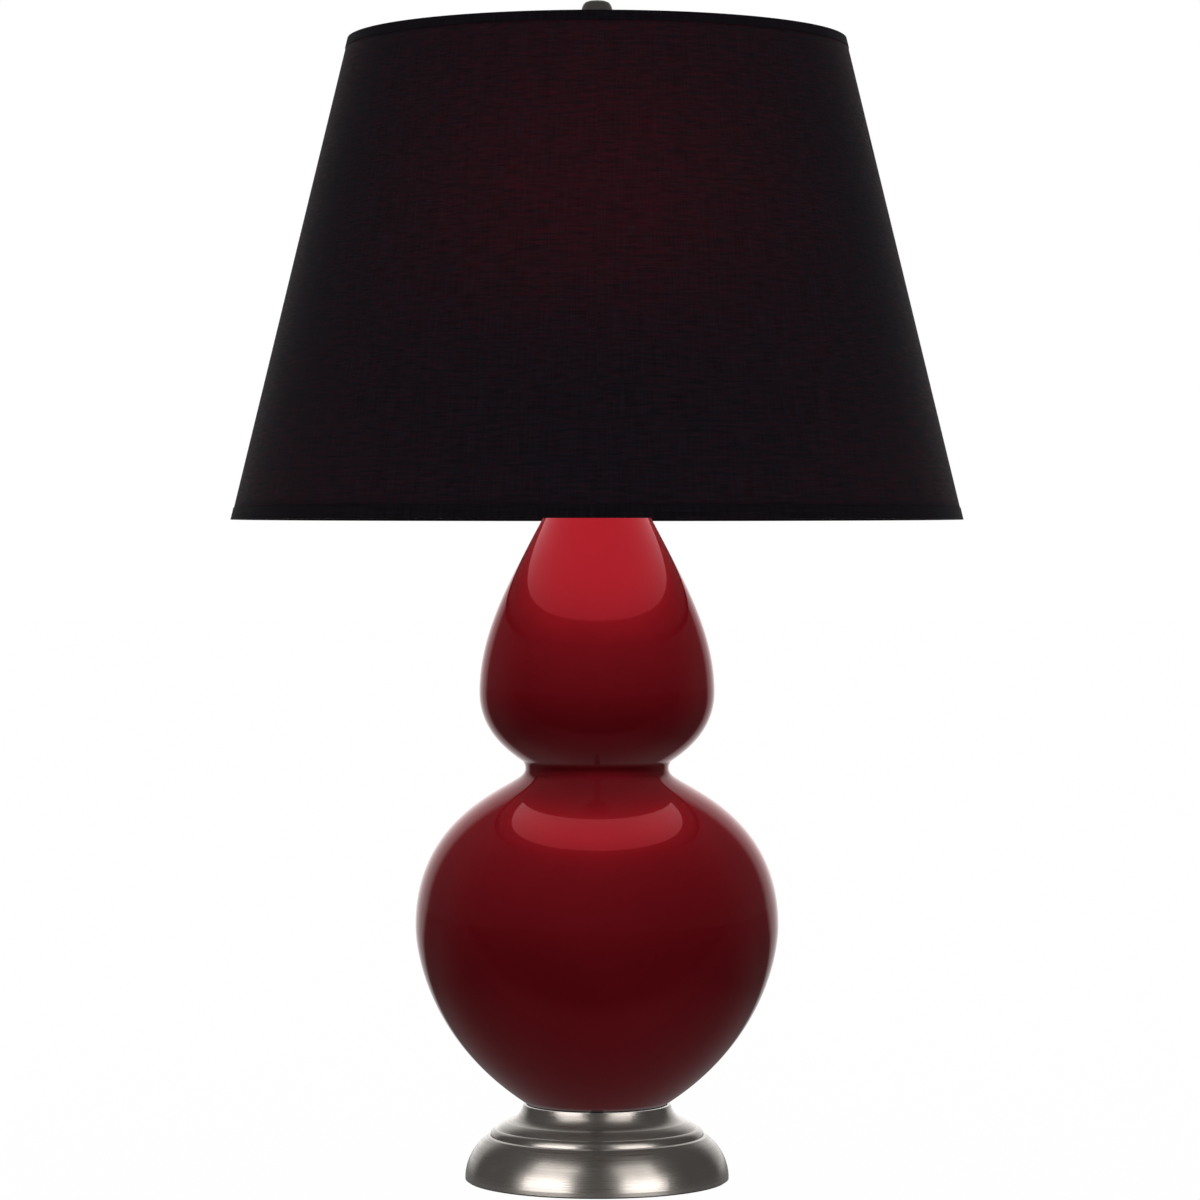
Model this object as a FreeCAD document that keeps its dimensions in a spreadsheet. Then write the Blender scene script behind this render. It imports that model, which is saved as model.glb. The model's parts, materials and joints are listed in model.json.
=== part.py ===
import FreeCAD, Part
import math
import os
import re

import Sketcher

# A table lamp: a glazed ceramic double gourd on a spun metal base, a threaded rod that clamps the
# stack, a keyed socket with its bulb, a harp, and a tapered hardback shade held by a finial.
# Millimetres, +Z up, X to the right and -Y to the front. The origin is the middle of the base's
# underside. A place is a pair of formulas, (radius, height) or (x, y), in the names below.

SIZES = {
    # fits shared by the whole lamp
    "rest_gap": 0.3,            # between a moving piece and what it rests on
    "turning_gap": 0.3,         # round a shaft that turns or a sleeve that slides
    "thread_gap": 0.1,          # round the threaded rod
    "glue_gap": 0.1,            # between the layers of the shade

    # base
    "felt_thickness": 1.0,
    "felt_inset": 1.5,
    "base_height": 49.5,
    "base_radius": 87.9,
    "base_sheet": 1.2,
    "rim_height": 2.5,
    "ogee_step": 14.7,
    "ogee_height": 28.4,
    "ogee_bulge": 3.4,
    "bead_step": 16.7,
    "bead_height": 28.9,
    "bead_bulge": 1.2,
    "crease_step": 20.9,
    "crease_height": 33.7,
    "roll_bulge": 0.4,
    "cove_step": 28.1,
    "cove_height": 38.3,
    "cove_bulge": 2.3,
    "collar_radius": 49.0,
    "weight_gap": 8.7,
    "weight_height": 17.0,
    "weight_hub_radius": 15.0,
    "recess_radius": 17.0,
    "recess_depth": 13.0,
    "inlet_height": 10.0,
    "bushing_neck_radius": 4.5,
    "bushing_flange_radius": 6.4,
    "bushing_flange": 1.6,
    "bushing_flange_bulge": 0.32,
    "bushing_length": 10.0,
    "cord_bore_radius": 3.1,
    "cord_channel_height": 8.0,

    # rod and its lower nut
    "rod_radius": 4.85,
    "rod_bore_radius": 3.2,
    "rod_tail": 2.5,
    "nut_flats": 16.0,
    "nut_height": 5.0,
    "washer_radius": 14.0,
    "washer_thickness": 1.5,

    # gourd
    "gasket_thickness": 0.8,
    "gasket_width": 9.0,
    "gourd_height": 428.7,
    "gourd_wall": 6.5,
    "rod_hole_radius": 6.5,
    "foot_radius": 47.2,
    "foot_angle": 57.0,
    "foot_handle": 77.4,
    "belly_radius": 121.3,
    "belly_height": 119.3,
    "belly_handle_below": 18.7,
    "belly_handle_above": 73.4,
    "waist_radius": 48.0,
    "waist_height": 223.6,
    "waist_round": 5.9,
    "waist_angle_below": 42.0,
    "waist_angle_above": 56.0,
    "waist_handle_below": 11.9,
    "waist_handle_above": 16.6,
    "crown_radius": 78.75,
    "crown_height": 274.5,
    "crown_handle_below": 22.7,
    "crown_handle_above": 55.9,
    "neck_radius": 17.9,
    "neck_angle": 21.2,
    "neck_handle": 54.75,

    # cap and spacer on the neck
    "cap_overhang": 3.1,
    "cap_skirt_depth": 3.0,
    "cap_skirt_wall": 1.2,
    "cap_rim": 2.0,
    "cap_height": 9.0,
    "cap_dome_bulge": 1.6,
    "spacer_radius": 7.0,
    "spacer_length": 24.7,

    # socket
    "socket_collar_radius": 7.4,
    "socket_collar_height": 7.0,
    "socket_sheet": 0.8,
    "socket_radius": 17.6,
    "socket_cap_height": 26.0,
    "socket_dome_height": 16.0,
    "socket_dome_bulge": 1.5,
    "socket_shell_sheet": 0.6,
    "socket_shell_height": 52.0,
    "socket_lip": 0.8,
    "liner_thickness": 0.6,
    "core_height": 24.0,
    "core_flat_depth": 2.8,
    "screw_shell_radius": 13.9,
    "screw_shell_sheet": 0.4,
    "screw_shell_height": 26.0,
    "eyelet_radius": 5.0,
    "eyelet_height": 2.6,
    "eyelet_sheet": 0.6,
    "eyelet_post": 0.8,
    "terminal_head_radius": 3.2,
    "terminal_shank_radius": 1.6,
    "terminal_head": 2.0,
    "terminal_shank": 3.0,

    # switch key
    "key_height": 32.0,
    "key_spindle_radius": 1.6,
    "key_spindle_depth": 7.0,
    "key_standoff": 2.0,
    "key_radius": 5.5,
    "key_length": 15.0,
    "key_neck_radius": 3.2,
    "key_neck_length": 4.0,
    "key_flute_radius": 0.9,
    "key_flutes": 12,
    "key_hold": 6.0,

    # bulb
    "bulb_radius": 30.0,
    "bulb_length": 108.0,
    "bulb_glass": 1.0,
    "bulb_neck_radius": 13.4,
    "bulb_neck_handle": 20.0,
    "bulb_rim_step": 1.0,
    "bulb_base_radius": 13.2,
    "bulb_base_sheet": 0.6,
    "bulb_base_foot": 5.0,
    "bulb_base_length": 22.0,
    "bulb_contact_radius": 4.6,
    "bulb_contact_height": 1.5,
    "bulb_neck_insert": 6.0,
    "stem_radius": 3.0,
    "stem_height": 34.0,
    "stem_flare": 8.0,
    "stem_flare_bulge": 1.0,
    "filament_wire_radius": 0.4,
    "filament_half_width": 2.2,
    "filament_rise": 16.0,
    "filament_bend": 1.2,

    # harp, its saddle and ferrules
    "saddle_thickness": 1.6,
    "saddle_width": 14.0,
    "saddle_bend": 4.0,
    "leg_spacing": 60.0,
    "saddle_shoulder": 12.0,
    "tab_width": 4.6,
    "tab_height": 8.0,
    "harp_wire_radius": 1.8,
    "harp_height": 208.6,
    "harp_width": 116.0,
    "harp_leg": 24.0,
    "harp_sweep_radius": 60.0,
    "harp_shoulder_radius": 45.0,
    "harp_eye_radius": 9.0,
    "harp_eye_thickness": 3.0,
    "ferrule_length": 15.0,
    "ferrule_radius": 4.2,
    "ferrule_lip": 0.5,

    # swivel stud on top of the harp
    "stud_radius": 3.1,
    "stud_length": 12.0,
    "stud_shank_radius": 2.3,
    "stud_head_radius": 4.2,
    "stud_head": 1.6,
    "stud_flange_radius": 11.0,
    "stud_flange": 1.5,

    # shade
    "shade_bottom_radius": 244.0,
    "shade_top_radius": 166.5,
    "shade_height": 320.3,
    "shade_recess": 12.2,
    "fabric_thickness": 0.5,
    "backing_thickness": 0.5,
    "tape_thickness": 0.3,
    "hem_height": 8.0,
    "band_height": 6.5,
    "ring_wire_radius": 1.6,
    "spider_washer_radius": 12.7,
    "spider_washer_hole": 5.4,
    "spider_washer": 1.6,
    "spider_wire_radius": 1.5,
    "spider_run": 26.0,
    "spider_arms": 3,

    # finial
    "finial_height": 36.9,
    "finial_bore_depth": 13.0,
    "finial_foot_radius": 8.5,
    "finial_foot": 2.4,
    "finial_neck_radius": 4.9,
    "finial_neck_height": 14.0,
    "finial_neck_bulge": 2.6,
    "finial_disc_radius": 11.0,
    "finial_disc": 2.2,
    "finial_dome_height": 6.6,
    "finial_step": 0.35,
    "finial_step_bulge": 0.35,
    "finial_top_radius": 5.0,
    "finial_steps": 3,
    "finial_button_radius": 2.1,
    "finial_button_top": 1.05,
    "finial_button": 0.8,
    "finial_button_bulge": 0.2,
}

# Heights and clearances that follow from the sizes, each written once.
DERIVED = {
    "quarter_bulge": "1 - cos(45)",
    "base_top": "felt_thickness + base_height",
    "ogee_radius": "base_radius - ogee_step",
    "bead_radius": "base_radius - bead_step",
    "crease_radius": "base_radius - crease_step",
    "cove_radius": "base_radius - cove_step",
    "weight_radius": "base_radius - base_sheet - weight_gap",
    "cord_channel_width": "2 * (bushing_neck_radius + thread_gap)",
    "hub_height": "base_height - base_sheet",
    "inner_bore": "rod_radius + thread_gap",
    "washer_level": "felt_thickness + recess_depth - washer_thickness",
    "nut_level": "washer_level - nut_height",
    "rod_level": "nut_level - rod_tail",
    "gourd_level": "base_top + gasket_thickness",
    "neck_top": "gourd_level + gourd_height",
    "cap_level": "neck_top + gasket_thickness",
    "cap_radius": "neck_radius + cap_overhang",
    "spacer_level": "cap_level + cap_height",
    "saddle_level": "spacer_level + spacer_length",
    "socket_level": "saddle_level + saddle_thickness",
    "shell_radius": "socket_radius - socket_sheet - turning_gap",
    "shell_foot": "socket_dome_height + socket_sheet",
    "liner_radius": "shell_radius - socket_shell_sheet - glue_gap",
    "core_radius": "liner_radius - liner_thickness - glue_gap",
    "core_foot": "shell_foot + socket_sheet",
    "core_top": "core_foot + core_height",
    "bulb_foot": "core_top + eyelet_height + rest_gap",
    "key_start": "socket_radius + key_standoff",
    "spindle_start": "core_radius - key_spindle_depth",
    "tab_top": "saddle_shoulder + tab_height",
    "harp_foot": "tab_top + rest_gap",
    "leg_x": "leg_spacing / 2",
    "ferrule_foot": "saddle_shoulder + rest_gap",
    "ferrule_bore": "sqrt(tab_width * tab_width + saddle_thickness * saddle_thickness) / 2 "
                    "+ turning_gap",
    "eye_level": "harp_foot + harp_height",
    "eye_bore": "stud_shank_radius + turning_gap",
    "flange_level": "eye_level + harp_eye_thickness / 2 + rest_gap",
    "spider_level": "flange_level + stud_flange + rest_gap",
    "finial_level": "spider_level + spider_washer + rest_gap",
    "shade_level": "socket_level + spider_level + shade_recess - shade_height",
    "shade_slope": "(shade_bottom_radius - shade_top_radius) / shade_height",
    "backing_depth": "tape_thickness + fabric_thickness + 2 * glue_gap",
    "ring_depth": "backing_depth + backing_thickness + 2 * glue_gap",
    "hem_depth": "ring_depth + 2 * ring_wire_radius + 2 * glue_gap + tape_thickness",
}

doc = FreeCAD.newDocument("Lamp")
sheet = doc.addObject("Spreadsheet::Sheet", "Sizes")
for row, (name, number) in enumerate(SIZES.items(), start=1):
    sheet.set(f"A{row}", name)
    sheet.set(f"B{row}", str(number))
    sheet.setAlias(f"B{row}", name)
doc.recompute()

Vector = FreeCAD.Vector
Constraint = Sketcher.Constraint
START, END, CENTRE = range(1, 4)
Y_AXIS, X_AXIS = range(-2, 0)
parts = []


# ---- formulas ----

def formula(text):
    """A formula with derived names spelled out, in the names of the sheet's cells."""
    def spell(match):
        word = match.group(0)
        if word in DERIVED:
            return "(" + formula(DERIVED[word]) + ")"
        return "Sizes." + word if word in SIZES else word
    return re.sub(r"[A-Za-z_]\w*", spell, str(text))


def value(text):
    """The number that a formula has now."""
    result = sheet.evalExpression(formula(text))
    return float(getattr(result, "Value", result))


def bind(thing, name, text):
    """Tie a property to a formula."""
    thing.setExpression(name, formula(text))


# ---- sketches ----

def origin_feature(body, role):
    return next(item for item in body.Origin.OriginFeatures if item.Role == role)


def new_sketch(body, role, name="Outline", offset=None):
    """A sketch on one of the body's own origin planes, lifted off it by an offset."""
    sketch = body.newObject("Sketcher::SketchObject", name)
    sketch.AttachmentSupport = [(origin_feature(body, role), "")]
    sketch.MapMode = "FlatFace"
    if offset is not None:
        bind(sketch, "AttachmentOffset.Base.z", offset)
    return sketch


def pin(sketch, geometry, end, place):
    """Hold a point of a sketch at a place."""
    for kind, axis, text in (("DistanceX", Y_AXIS, place[0]), ("DistanceY", X_AXIS, place[1])):
        if str(text) == "0":
            sketch.addConstraint(Constraint("PointOnObject", geometry, end, axis))
            continue
        index = sketch.addConstraint(Constraint(kind, X_AXIS, START, geometry, end, value(text)))
        bind(sketch, f"Constraints[{index}]", text)


def at(place):
    return Vector(value(place[0]), value(place[1]), 0)


def bulge_point(start, end, bulge):
    """The middle of an arc that stands off its chord by a bulge, to the right of its run."""
    run_x, run_y = f"(({end[0]}) - ({start[0]}))", f"(({end[1]}) - ({start[1]}))"
    chord = f"sqrt({run_x} * {run_x} + {run_y} * {run_y})"
    return (
        f"(({start[0]}) + ({end[0]})) / 2 + ({bulge}) * {run_y} / {chord}",
        f"(({start[1]}) + ({end[1]})) / 2 - ({bulge}) * {run_x} / {chord}",
    )


def add_line(sketch, start, end):
    line = sketch.addGeometry(Part.LineSegment(at(start), at(end)), False)
    return line, START, END


def add_arc(sketch, start, end, bulge):
    """An arc held by its ends and the middle of its run."""
    middle = bulge_point(start, end, bulge)
    circle = Part.ArcOfCircle(at(start), at(middle), at(end)).Circle
    centre, radius = circle.Center, circle.Radius
    ends = [at(start) - centre, at(end) - centre]
    angles = [math.atan2(ray.y, ray.x) for ray in ends]
    forward = (at(middle) - at(start)).cross(at(end) - at(middle)).z > 0
    low, high = angles if forward else angles[::-1]
    if high < low:
        high += 2 * math.pi
    full = Part.Circle(centre, Vector(0, 0, 1), radius)
    arc = sketch.addGeometry(Part.ArcOfCircle(full, low, high), False)
    point = sketch.addGeometry(Part.Point(at(middle)), True)
    pin(sketch, point, START, middle)
    sketch.addConstraint(Constraint("PointOnObject", point, START, arc))
    return (arc, START, END) if forward else (arc, END, START)


def add_curve(sketch, start, first, second, end):
    """A cubic curve with two handles."""
    poles = [at(start), at(first), at(second), at(end)]
    spline = Part.BSplineCurve(poles, None, None, False, 3, None, False)
    curve = sketch.addGeometry(spline, False)
    sketch.exposeInternalGeometry(curve)
    pin(sketch, curve + 2, CENTRE, first)
    pin(sketch, curve + 3, CENTRE, second)
    return curve, START, END


def draw(sketch, start, stretches, closed=True):
    """Draw an outline from its start. A stretch is a straight run, [end], an arc, [bulge, end],
    or a cubic curve, [handle, handle, end]."""
    here, last, first = start, None, None
    for number, stretch in enumerate(stretches):
        end = stretch[-1]
        if len(stretch) == 1:
            edge, begin, finish = add_line(sketch, here, end)
        elif len(stretch) == 2:
            edge, begin, finish = add_arc(sketch, here, end, stretch[0])
        else:
            edge, begin, finish = add_curve(sketch, here, stretch[0], stretch[1], end)
        if last:
            sketch.addConstraint(Constraint("Coincident", last[0], last[1], edge, begin))
        else:
            pin(sketch, edge, begin, here)
            first = (edge, begin)
        if closed and number == len(stretches) - 1:
            sketch.addConstraint(Constraint("Coincident", edge, finish, first[0], first[1]))
        else:
            pin(sketch, edge, finish, end)
        here, last = end, (edge, finish)


def draw_circle(sketch, place, radius):
    circle = sketch.addGeometry(Part.Circle(at(place), Vector(0, 0, 1), value(radius)), False)
    pin(sketch, circle, CENTRE, place)
    index = sketch.addConstraint(Constraint("Radius", circle, value(radius)))
    bind(sketch, f"Constraints[{index}]", radius)


def draw_box(sketch, low, high):
    """A rectangle between two opposite corners."""
    draw(sketch, low, [[(high[0], low[1])], [high], [(low[0], high[1])], [low]])


# ---- bodies and features ----

def new_body(label, x="0", y="0", z="0", turn=None):
    """A sub-part, placed by formulas and turned about one axis by an angle in degrees."""
    body = doc.addObject("PartDesign::Body", label)
    body.Label = label
    if turn:
        body.Placement.Rotation = FreeCAD.Rotation(*turn)
    for axis, text in (("x", x), ("y", y), ("z", z)):
        if text != "0":
            bind(body, "Placement.Base." + axis, text)
    parts.append(body)
    return body


def revolve(body, start, stretches, name="Turned"):
    """Turn an outline of (radius, height) places about the body's Z axis."""
    sketch = new_sketch(body, "XZ_Plane", name + "Outline")
    draw(sketch, start, stretches)
    feature = body.newObject("PartDesign::Revolution", name)
    feature.Profile = (sketch, [""])
    feature.ReferenceAxis = (sketch, ["V_Axis"])
    feature.Angle = 360
    return feature


def turned(label, start, stretches, **place):
    """A sub-part turned about its own Z axis."""
    body = new_body(label, **place)
    revolve(body, start, stretches)
    return body


def ring(label, inner, outer, height, **place):
    """A washer, sleeve or disc with a hole: a turned rectangle."""
    return turned(label, (inner, "0"), [[(outer, "0")], [(outer, height)], [(inner, height)],
                                        [(inner, "0")]], **place)


def drill(body, name, radius, length, x="0", y="0", z="0", turn=None):
    """Cut a round hole along the given direction, which is up unless it is turned."""
    hole = body.newObject("PartDesign::SubtractiveCylinder", name)
    bind(hole, "Radius", radius)
    bind(hole, "Height", length)
    if turn:
        hole.Placement.Rotation = FreeCAD.Rotation(*turn)
    for axis, text in (("x", x), ("y", y), ("z", z)):
        if text != "0":
            bind(hole, "Placement.Base." + axis, text)
    return hole


def pad(body, sketch, length):
    feature = body.newObject("PartDesign::Pad", sketch.Name + "Pad")
    feature.Profile = (sketch, [""])
    bind(feature, "Length", length)
    feature.Midplane = True
    return feature


def pipe(body, section, path, name="Wire"):
    """Sweep a section along every edge of a path."""
    doc.recompute()
    feature = body.newObject("PartDesign::AdditivePipe", name)
    feature.Profile = (section, [""])
    feature.Spine = (path, [f"Edge{n + 1}" for n in range(len(path.Shape.Edges))])
    return feature


FORWARD = (Vector(1, 0, 0), 90)      # a piece's own Z axis points to the front, -Y
BACKWARD = (Vector(1, 0, 0), -90)    # and to the back, +Y


# ---- base ----

def base_side(inset):
    """The base's side from rim to collar, shifted inward and down by an inset."""
    def place(radius, height):
        return f"{radius} - {inset}", f"{height} - {inset}"
    return [
        ["ogee_bulge", place("ogee_radius", "ogee_height")],
        [place("bead_radius", "bead_height")],
        ["bead_bulge", place("crease_radius", "crease_height")],
        ["roll_bulge", place("cove_radius", "cove_height")],
        ["-cove_bulge", place("collar_radius", "base_height")],
    ]


def reversed_run(start, stretches):
    """The same stretches walked back, with each bulge on the other side."""
    places = [start] + [stretch[-1] for stretch in stretches]
    back = []
    for number in range(len(stretches) - 1, -1, -1):
        stretch, end = stretches[number], places[number]
        if len(stretch) == 1:
            back.append([end])
        elif len(stretch) == 2:
            back.append([f"-({stretch[0]})", end])
        else:
            back.append([stretch[1], stretch[0], end])
    return back


def base_shell():
    """The spun metal shell, open underneath, with a flange for the rod and a hole for the cord."""
    inner_start = ("base_radius - base_sheet", "rim_height")
    inner = base_side("base_sheet")
    body = turned("base_shell", ("base_radius - base_sheet", "0"), [
        [("base_radius", "0")],
        [("base_radius", "rim_height")],
        *base_side("0"),
        [("inner_bore", "base_height")],
        [("inner_bore", "hub_height")],
        [inner[-1][-1]],
        *reversed_run(inner_start, inner),
        [("base_radius - base_sheet", "0")],
    ], z="felt_thickness")
    drill(body, "InletHole", "bushing_neck_radius + thread_gap", "base_radius",
          z="inlet_height", turn=BACKWARD)


def base_weight():
    """The cast ballast: a disc and a hub, recessed for the nut and cut for the cord."""
    body = turned("base_weight", ("inner_bore", "0"), [
        [("weight_radius", "0")],
        [("weight_radius", "weight_height")],
        [("weight_hub_radius", "weight_height")],
        [("weight_hub_radius", "hub_height")],
        [("inner_bore", "hub_height")],
        [("inner_bore", "0")],
    ], z="felt_thickness")
    drill(body, "NutRecess", "recess_radius", "recess_depth")
    channel = body.newObject("PartDesign::SubtractiveBox", "CordChannel")
    bind(channel, "Length", "cord_channel_width")
    bind(channel, "Width", "weight_radius")
    bind(channel, "Height", "cord_channel_height / 2 + inlet_height")
    bind(channel, "Placement.Base.x", "-cord_channel_width / 2")


def base_pieces():
    """Felt, shell, ballast, cord bushing and the nut under the rod."""
    ring("base_felt", "recess_radius", "base_radius - felt_inset", "felt_thickness")
    base_shell()
    base_weight()
    turned("cord_bushing", ("cord_bore_radius", "-bushing_length"), [
        [("bushing_neck_radius", "-bushing_length")],
        [("bushing_neck_radius", "0")],
        [("bushing_flange_radius", "0")],
        [("bushing_flange_radius", "bushing_flange / 2")],
        ["bushing_flange_bulge", ("bushing_flange_radius - bushing_flange / 2", "bushing_flange")],
        [("cord_bore_radius", "bushing_flange")],
        [("cord_bore_radius", "-bushing_length")],
    ], y="base_radius", z="felt_thickness + inlet_height", turn=BACKWARD)
    ring("rod_washer", "inner_bore", "washer_radius", "washer_thickness", z="washer_level")
    nut = new_body("rod_nut", z="nut_level")
    prism = nut.newObject("PartDesign::AdditivePrism", "Hexagon")
    prism.Polygon = 6
    bind(prism, "Circumradius", "nut_flats / 2 / cos(30)")
    bind(prism, "Height", "nut_height")
    drill(nut, "NutThread", "inner_bore", "nut_height")
    ring("threaded_rod", "rod_bore_radius", "rod_radius",
         "socket_level + socket_collar_height - rod_level", z="rod_level")


# ---- gourd ----

def gourd_side(inset):
    """The gourd's side from foot to neck, shifted inward by an inset. A handle shrinks with it by
    the share that keeps the stretch's turn round."""
    def handle(length, turn):
        return f"({length} - 4 / 3 * tan(({turn}) / 4) * {inset})"

    foot = (f"foot_radius - {inset} * cos(foot_angle)", f"{inset} * sin(foot_angle)")
    belly = (f"belly_radius - {inset}", "belly_height")
    reach = f"(waist_round + {inset})"
    below = (f"waist_radius + waist_round - {reach} * cos(waist_angle_below)",
             f"waist_height - {reach} * sin(waist_angle_below)")
    above = (f"waist_radius + waist_round - {reach} * cos(waist_angle_above)",
             f"waist_height + {reach} * sin(waist_angle_above)")
    crown = (f"crown_radius - {inset}", "crown_height")
    neck = (f"neck_radius - {inset} * cos(neck_angle)",
            f"gourd_height - {inset} * sin(neck_angle)")

    foot_reach = handle("foot_handle", "foot_angle")
    waist_low = handle("waist_handle_below", "waist_angle_below")
    waist_high = handle("waist_handle_above", "waist_angle_above")
    neck_reach = handle("neck_handle", "neck_angle")
    return foot, [
        [(f"{foot[0]} + {foot_reach} * sin(foot_angle)",
          f"{foot[1]} + {foot_reach} * cos(foot_angle)"),
         (belly[0], "belly_height - " + handle("belly_handle_below", "foot_angle")), belly],
        [(belly[0], "belly_height + " + handle("belly_handle_above", "waist_angle_below")),
         (f"{below[0]} + {waist_low} * sin(waist_angle_below)",
          f"{below[1]} - {waist_low} * cos(waist_angle_below)"), below],
        [f"{reach} * (cos((waist_angle_below + waist_angle_above) / 2) - 1)", above],
        [(f"{above[0]} + {waist_high} * sin(waist_angle_above)",
          f"{above[1]} + {waist_high} * cos(waist_angle_above)"),
         (crown[0], "crown_height - " + handle("crown_handle_below", "waist_angle_above")), crown],
        [(crown[0], "crown_height + " + handle("crown_handle_above", "neck_angle")),
         (f"{neck[0]} + {neck_reach} * sin(neck_angle)",
          f"{neck[1]} - {neck_reach} * cos(neck_angle)"), neck],
    ]


def gourd_pieces():
    """The ceramic gourd, its two gaskets, the cap on its neck and the spacer above."""
    ring("base_gasket", "collar_radius - gasket_width", "foot_radius", "gasket_thickness",
         z="base_top")
    foot, outside = gourd_side("0")
    inner_foot, inside = gourd_side("gourd_wall")
    inner_neck = inside[-1][-1]
    turned("gourd_body", foot, [
        *outside,
        [(inner_neck[0], "gourd_height")],
        [inner_neck],
        *reversed_run(inner_foot, inside),
        [("rod_hole_radius", inner_foot[1])],
        [("rod_hole_radius", "0")],
        [foot],
    ], z="gourd_level")
    ring("neck_gasket", inner_neck[0], "neck_radius", "gasket_thickness", z="neck_top")
    turned("neck_cap", ("inner_bore", "0"), [
        [("cap_radius - cap_skirt_wall", "0")],
        [("cap_radius - cap_skirt_wall", "-cap_skirt_depth")],
        [("cap_radius", "-cap_skirt_depth")],
        [("cap_radius", "cap_rim")],
        ["cap_dome_bulge", ("spacer_radius", "cap_height")],
        [("inner_bore", "cap_height")],
        [("inner_bore", "0")],
    ], z="cap_level")
    ring("neck_spacer", "inner_bore", "spacer_radius", "spacer_length", z="spacer_level")


# ---- socket and switch ----

def socket_cap():
    """The domed lower cap of the socket, with its collar round the rod."""
    inner = "socket_radius - socket_sheet"
    turned("socket_cap", ("inner_bore", "0"), [
        [("socket_collar_radius", "0")],
        [("socket_collar_radius", "socket_collar_height")],
        ["socket_dome_bulge", ("socket_radius", "socket_dome_height")],
        [("socket_radius", "socket_cap_height")],
        [(inner, "socket_cap_height")],
        [(inner, "socket_dome_height")],
        ["-socket_dome_bulge", ("inner_bore", "socket_collar_height")],
        [("inner_bore", "0")],
    ], z="socket_level")


def socket_shell():
    """The socket's outer shell, with a rolled lip and a hole for the key."""
    inner = "shell_radius - socket_shell_sheet"
    top = "socket_shell_height"
    body = turned("socket_shell", (inner, "0"), [
        [("shell_radius", "0")],
        [("shell_radius", f"{top} - 2 * socket_lip")],
        ["socket_lip", ("shell_radius", top)],
        [(inner, top)],
        [(inner, "0")],
    ], z="socket_level + shell_foot")
    drill(body, "KeyHole", "key_spindle_radius + 2 * turning_gap", "socket_radius",
          z="key_height - shell_foot", turn=FORWARD)


def socket_liner():
    """The paper sleeve that insulates the shell."""
    body = ring("socket_liner", "liner_radius - liner_thickness", "liner_radius",
                "socket_shell_height - 2 * socket_lip", z="socket_level + core_foot")
    drill(body, "KeyHole", "key_spindle_radius + 2 * turning_gap", "socket_radius",
          z="key_height - core_foot", turn=FORWARD)


def socket_core():
    """The moulded core: it holds the switch, the terminals and the contacts."""
    body = ring("socket_core", "rod_bore_radius", "core_radius", "core_height",
                z="socket_level + core_foot")
    for side, start in (("Right", "core_radius - core_flat_depth"), ("Left", "-core_radius")):
        flat = body.newObject("PartDesign::SubtractiveBox", "Flat" + side)
        bind(flat, "Length", "core_flat_depth")
        bind(flat, "Width", "2 * core_radius")
        bind(flat, "Height", "core_height / 2")
        bind(flat, "Placement.Base.x", start)
        bind(flat, "Placement.Base.y", "-core_radius")
    for side, angle in (("Right", 90), ("Left", -90)):
        drill(body, "TerminalHole" + side, "terminal_shank_radius + thread_gap",
              "core_radius", z="core_height / 4", turn=(Vector(0, 1, 0), angle))
    drill(body, "SpindleHole", "key_spindle_radius + turning_gap", "core_radius",
          z="key_height - core_foot", turn=FORWARD)


def terminal_screws():
    """Two screws, one on each side of the core."""
    face = "core_radius - core_flat_depth"
    screws = []
    for name, sign in (("RightScrew", 1), ("LeftScrew", -1)):
        shank = doc.addObject("Part::Cylinder", name + "Shank")
        bind(shank, "Radius", "terminal_shank_radius")
        bind(shank, "Height", "terminal_shank + terminal_head")
        bind(shank, "Placement.Base.x", f"{sign} * ({face} - terminal_shank)")
        head = doc.addObject("Part::Cylinder", name + "Head")
        bind(head, "Radius", "terminal_head_radius")
        bind(head, "Height", "terminal_head")
        bind(head, "Placement.Base.x", f"{sign} * ({face})")
        for piece in (shank, head):
            piece.Placement.Rotation = FreeCAD.Rotation(Vector(0, 1, 0), sign * 90)
            bind(piece, "Placement.Base.z", "socket_level + core_foot + core_height / 4")
        screw = doc.addObject("Part::Fuse", name)
        screw.Base, screw.Tool = shank, head
        screws.append(screw)
    group = doc.addObject("Part::Compound", "terminal_screws")
    group.Label = "terminal_screws"
    group.Links = screws
    parts.append(group)


def socket_contacts():
    """The screw shell that takes the bulb, and the sprung contact at its middle."""
    inner = "screw_shell_radius - screw_shell_sheet"
    turned("screw_shell", ("eyelet_radius + 2 * turning_gap", "0"), [
        [("screw_shell_radius", "0")],
        [("screw_shell_radius", "screw_shell_height")],
        [(inner, "screw_shell_height")],
        [(inner, "screw_shell_sheet")],
        [("eyelet_radius + 2 * turning_gap", "screw_shell_sheet")],
        [("eyelet_radius + 2 * turning_gap", "0")],
    ], z="socket_level + core_top")
    post = "rod_bore_radius + eyelet_post"
    turned("centre_contact", ("rod_bore_radius", "0"), [
        [(post, "0")],
        [(post, "eyelet_height - eyelet_sheet")],
        [("eyelet_radius", "eyelet_height - eyelet_sheet")],
        [("eyelet_radius", "eyelet_height")],
        [("0", "eyelet_height")],
        [("0", "eyelet_height - eyelet_sheet")],
        [("rod_bore_radius", "eyelet_height - eyelet_sheet")],
        [("rod_bore_radius", "0")],
    ], z="socket_level + core_top")


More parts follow.
